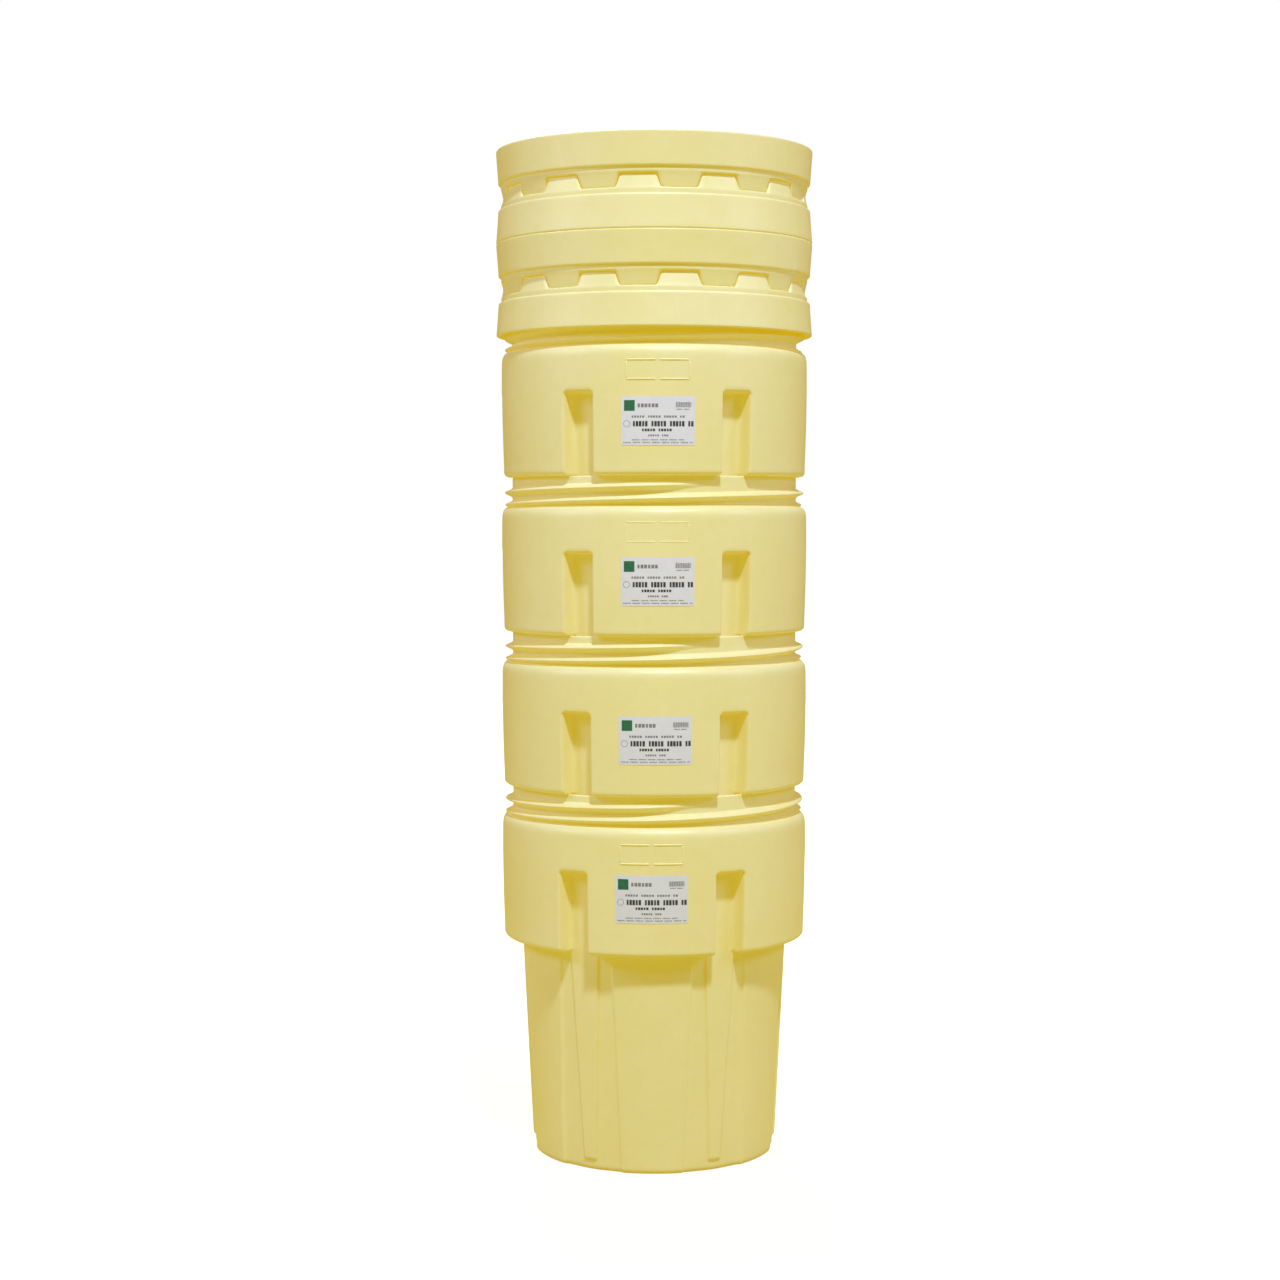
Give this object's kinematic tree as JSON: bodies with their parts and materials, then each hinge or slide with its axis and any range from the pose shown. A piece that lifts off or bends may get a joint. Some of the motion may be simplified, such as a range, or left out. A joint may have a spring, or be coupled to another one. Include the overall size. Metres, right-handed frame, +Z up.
{
  "type": "overpack salvage drum",
  "caption": "Tapered plastic overpack drums with slotted collars and threaded necks, nested in each other under a pile of toothed screw lids.",
  "frame": {"origin": "centre of the bottom drum's base, on the floor", "axes": "+Z up along the axis of the nest; -Y is the front, where the labels are; +X to the right seen from the front"},
  "size_m": [0.807, 0.807, 2.5564],
  "materials": {
    "drum_plastic": "satin rotomoulded polyethylene, pale lemon yellow",
    "lid_plastic": "satin rotomoulded polyethylene, pale lemon yellow",
    "gasket_foam": "closed-cell sponge rubber",
    "label_paper": null
  },
  "bodies": {
    "drum_1": {"drum_1": "drum_plastic", "label_1": "label_paper"},
    "drum_2": {"drum_2": "drum_plastic", "label_2": "label_paper"},
    "drum_3": {"drum_3": "drum_plastic", "label_3": "label_paper"},
    "drum_4": {"drum_4": "drum_plastic", "label_4": "label_paper"},
    "gasket_1": {"gasket_1": "gasket_foam"},
    "lid_1": {"lid_1": "lid_plastic"},
    "lid_2": {"lid_2": "lid_plastic", "gasket_2": "gasket_foam"},
    "lid_3": {"lid_3": "lid_plastic", "gasket_3": "gasket_foam"},
    "lid_4": {"lid_4": "lid_plastic", "gasket_4": "gasket_foam"}
  },
  "joints": [
    {"name": "drum_2_lift", "type": "slide", "parent": "drum_1", "child": "drum_2", "axis": [0, 0, 1], "range_m": [0, 0.6]},
    {"name": "drum_3_lift", "type": "slide", "parent": "drum_2", "child": "drum_3", "axis": [0, 0, 1], "range_m": [0, 0.6]},
    {"name": "drum_4_lift", "type": "slide", "parent": "drum_3", "child": "drum_4", "axis": [0, 0, 1], "range_m": [0, 0.6]},
    {"name": "lid_1_rise", "type": "slide", "parent": "drum_4", "child": "gasket_1", "axis": [0, 0, 1], "range_m": [-0.0311, 0.0621]},
    {"name": "lid_1_screw", "type": "hinge", "parent": "gasket_1", "child": "lid_1", "pos_m": [0, 0, 2.089], "axis": [0, 0, 1], "range_deg": [-180, 360]},
    {"name": "lid_2_lift", "type": "slide", "parent": "lid_1", "child": "lid_2", "axis": [0, 0, 1], "range_m": [0, 0.15]},
    {"name": "lid_3_lift", "type": "slide", "parent": "lid_2", "child": "lid_3", "axis": [0, 0, 1], "range_m": [0, 0.15]},
    {"name": "lid_4_lift", "type": "slide", "parent": "lid_3", "child": "lid_4", "axis": [0, 0, 1], "range_m": [0, 0.15]}
  ],
  "couplings": [
    {"joint": "lid_1_rise", "follows": "lid_1_screw", "m_per_rad": 0.0098676}
  ]
}
